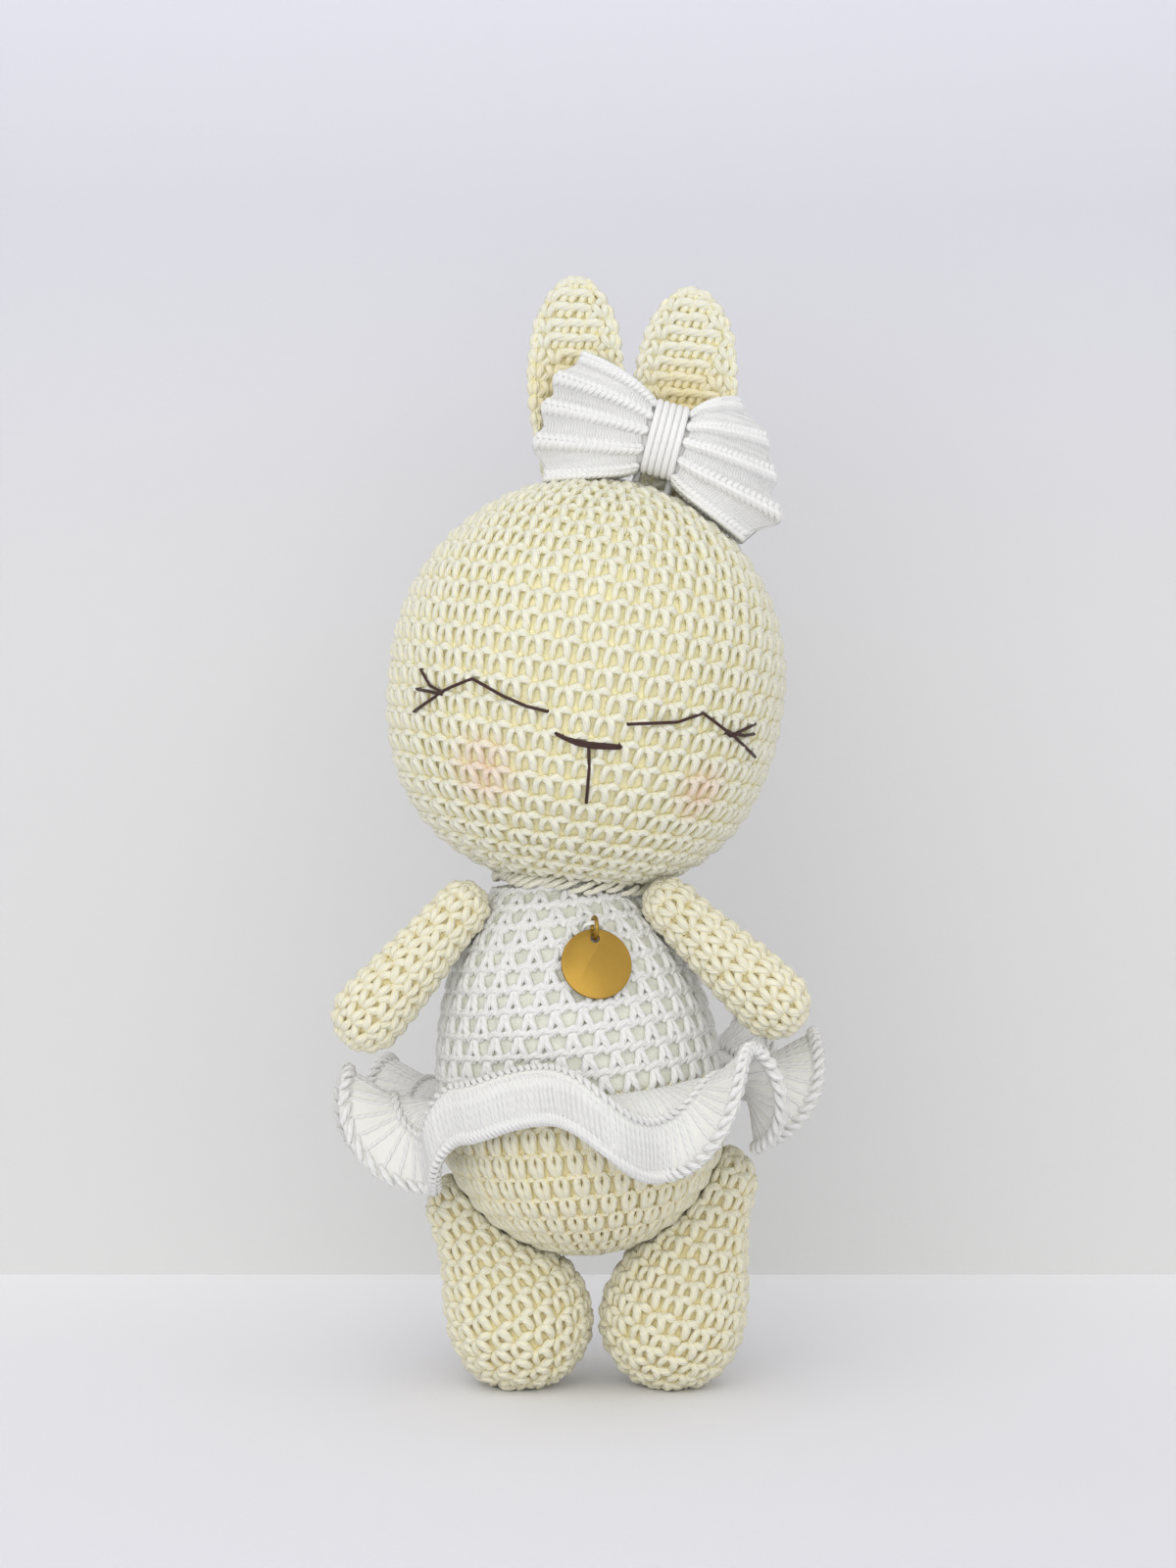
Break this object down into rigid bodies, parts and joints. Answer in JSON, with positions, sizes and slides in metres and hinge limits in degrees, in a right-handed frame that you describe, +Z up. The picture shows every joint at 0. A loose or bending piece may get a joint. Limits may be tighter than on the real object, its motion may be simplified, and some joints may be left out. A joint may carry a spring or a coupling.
{
  "type": "amigurumi doll",
  "caption": "Small crocheted doll with upright ears, a ribbed bow, a gathered frill, thread-jointed arms and legs, a turning head and a blank disc on a jump ring.",
  "frame": {"origin": "on the floor under the middle of the doll's bounding box", "axes": "+Z up along the doll, -Y is the way the face looks, +X is the viewer's right"},
  "size_m": [0.0899, 0.0744, 0.2039],
  "materials": {
    "cream_yarn": "matt crocheted yarn",
    "limb_yarn": "matt crocheted yarn",
    "white_yarn": "matt crocheted yarn",
    "filling": "loose fibre",
    "dark_thread": "embroidery thread",
    "joint_thread": "strong sewing thread",
    "gold": "polished gold plate"
  },
  "bodies": {
    "torso": {"bodice_skin": "white_yarn", "belly_skin": "cream_yarn", "body_stuffing": "filling", "skirt_ruffle": "white_yarn", "neck_seam_yarn": "cream_yarn", "charm_loop": "white_yarn", "arm_left_tie": "joint_thread", "arm_right_tie": "joint_thread", "leg_left_tie": "joint_thread", "leg_right_tie": "joint_thread"},
    "head": {"head_skin": "cream_yarn", "head_stuffing": "filling", "ear_left": "cream_yarn", "ear_right": "cream_yarn", "bow_fabric": "white_yarn", "bow_wrap": "white_yarn", "eye_left_thread": "dark_thread", "eye_right_thread": "dark_thread", "nose_thread": "dark_thread", "mouth_thread": "dark_thread"},
    "arm_left": {"arm_left_skin": "limb_yarn", "arm_left_stuffing": "filling"},
    "arm_right": {"arm_right_skin": "limb_yarn", "arm_right_stuffing": "filling"},
    "leg_left": {"leg_left_skin": "limb_yarn", "leg_left_stuffing": "filling"},
    "leg_right": {"leg_right_skin": "limb_yarn", "leg_right_stuffing": "filling"},
    "jump_ring": {"jump_ring": "gold"},
    "charm_disc": {"charm_disc": "gold"}
  },
  "joints": [
    {"name": "head_turn", "type": "hinge", "parent": "torso", "child": "head", "pos_m": [0.00173, 0, 0.1296], "axis": [0.1564, 0, 0.9877], "range_deg": [-60, 60]},
    {"name": "arm_left_swing", "type": "hinge", "parent": "torso", "child": "arm_left", "pos_m": [-0.01745, -0.00838, 0.08558], "axis": [-0.7662, -0.4101, 0.4948], "range_deg": [-60, 60]},
    {"name": "arm_right_swing", "type": "hinge", "parent": "torso", "child": "arm_right", "pos_m": [0.01337, -0.00933, 0.08581], "axis": [-0.6945, 0.4334, -0.5743], "range_deg": [-60, 60]},
    {"name": "leg_left_swing", "type": "hinge", "parent": "torso", "child": "leg_left", "pos_m": [-0.01958, 0, 0.0337], "axis": [-0.766, 0, -0.6428], "range_deg": [-70, 65]},
    {"name": "leg_right_swing", "type": "hinge", "parent": "torso", "child": "leg_right", "pos_m": [0.02429, 0, 0.03831], "axis": [-0.8829, 0, 0.4695], "range_deg": [-70, 65]},
    {"name": "ring_swing", "type": "hinge", "parent": "torso", "child": "jump_ring", "pos_m": [0.00296, -0.02055, 0.08584], "axis": [-0.9766, -0.2149, 0], "range_deg": [0, 80]},
    {"name": "disc_swing", "type": "hinge", "parent": "jump_ring", "child": "charm_disc", "pos_m": [0.00296, -0.02055, 0.083], "axis": [-0.2045, 0.9294, -0.3073], "range_deg": [-20, 20]}
  ]
}
